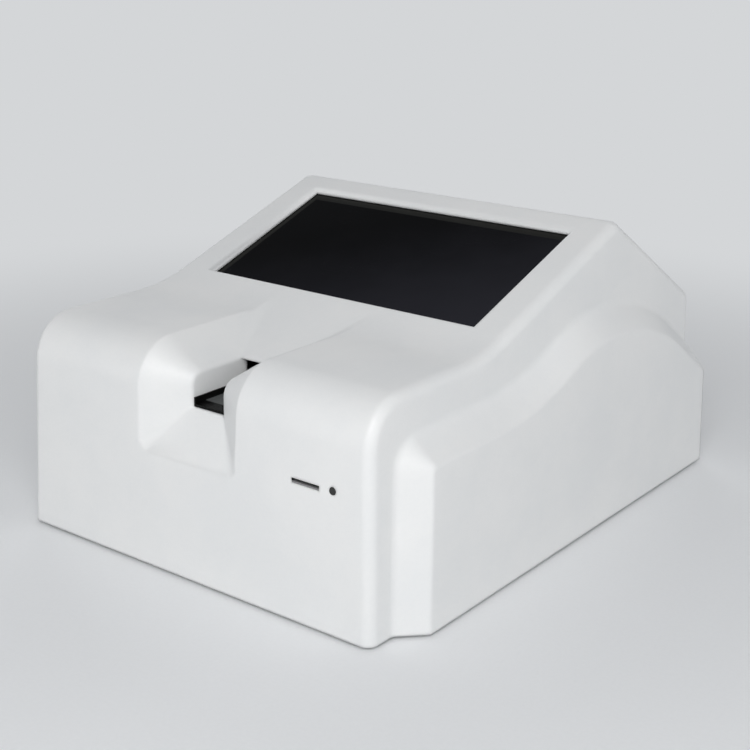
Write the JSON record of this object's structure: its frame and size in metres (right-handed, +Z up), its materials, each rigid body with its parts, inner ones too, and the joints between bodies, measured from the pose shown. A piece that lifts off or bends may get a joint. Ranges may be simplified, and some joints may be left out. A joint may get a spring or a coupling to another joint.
{
  "type": "coagulation analyzer",
  "caption": "Bench blood-clotting analyzer: sloped touch screen, motor-driven card tray in a finger notch, code card slot, rear sockets.",
  "frame": {"origin": "on the table under the middle of the object", "axes": "+X to the right seen from the front, +Y to the rear, +Z up"},
  "size_m": [0.2688, 0.33, 0.1677],
  "materials": {
    "housing_plastic": "satin off-white moulded plastic",
    "base_metal": "light grey powder-coated sheet",
    "rubber": "matt",
    "foam": "matt closed-cell foam",
    "screw_steel": "zinc plated",
    "screen_glass": "polished black-backed glass",
    "display_case": "folded tin-plate",
    "bracket_steel": "galvanised",
    "circuit_board": "solder-masked laminate",
    "chip_plastic": "matt",
    "dark_plastic": "fine grain",
    "tray_plastic": "fine grain",
    "smoked_lens": "smooth",
    "clear_resin": "smooth",
    "gear_plastic": "smooth acetal",
    "turned_steel": "ground",
    "bush_bronze": "sintered",
    "motor_steel": "zinc plated",
    "machined_aluminium": "milled",
    "black_anodised": "matt black anodised",
    "lens_glass": "polished",
    "probe_steel": "polished",
    "post_brass": "nickel-plated hex stock",
    "port_metal": "bright tin plate",
    "panel_metal": "grey powder coat",
    "pin_metal": "bright",
    "rocker_plastic": "smooth",
    "supply_case": "perforated sheet"
  },
  "bodies": {
    "case": {"base_plate": "base_metal", "board_chips": "chip_plastic", "board_foot_screws": "screw_steel", "board_posts": "post_brass", "board_screws": "screw_steel", "buzzer": "chip_plastic", "code_board": "circuit_board", "code_board_screws": "screw_steel", "code_card_socket": "dark_plastic", "detector_board": "circuit_board", "display_board": "circuit_board", "display_screws": "screw_steel", "focusing_lenses": "lens_glass", "guide_rails": "machined_aluminium", "heater_block": "machined_aluminium", "heater_screws": "screw_steel", "housing": "housing_plastic", "housing_screws": "screw_steel", "indicator_lamp": "clear_resin", "indicator_lens": "smoked_lens", "inlet_pins": "pin_metal", "inlet_screws": "screw_steel", "lcd_bracket": "bracket_steel", "lcd_module": "display_case", "lcd_screws": "screw_steel", "light_detector": "turned_steel", "light_source": "clear_resin", "main_board": "circuit_board", "motor_screws": "screw_steel", "network_port": "port_metal", "optics_block": "black_anodised", "optics_screws": "screw_steel", "power_inlet": "dark_plastic", "power_supply": "supply_case", "rail_screws": "screw_steel", "reader_base": "bracket_steel", "reader_foot_screws": "screw_steel", "reader_posts": "post_brass", "reader_screws": "screw_steel", "rear_panel": "panel_metal", "rear_panel_screws": "screw_steel", "rubber_feet": "rubber", "screen_gasket": "foam", "serial_port": "port_metal", "shaft_bushes": "bush_bronze", "supply_screws": "screw_steel", "switch_frame": "dark_plastic", "temperature_probe": "probe_steel", "touch_glass": "screen_glass", "tray_motor": "motor_steel", "tray_sensor": "dark_plastic", "usb_port": "port_metal"},
    "tray": {"card_tray": "tray_plastic", "tray_rack": "gear_plastic", "rack_screws": "screw_steel"},
    "pinion": {"tray_pinion": "gear_plastic", "pinion_shaft": "turned_steel"},
    "rocker": {"power_rocker": "rocker_plastic"}
  },
  "joints": [
    {"name": "tray_slide", "type": "slide", "parent": "case", "child": "tray", "axis": [0, 1, 0], "range_m": [0, 0.055]},
    {"name": "pinion_turn", "type": "hinge", "parent": "case", "child": "pinion", "pos_m": [0.0075, -0.038, 0.078], "axis": [-1, 0, 0], "range_deg": [-1, 395]},
    {"name": "rocker_tilt", "type": "hinge", "parent": "case", "child": "rocker", "pos_m": [0.022, 0.15814, 0.033], "axis": [-1, 0, 0], "range_deg": [0, 16]}
  ],
  "couplings": [
    {"joint": "pinion_turn", "follows": "tray_slide", "rad_per_m": 125}
  ]
}
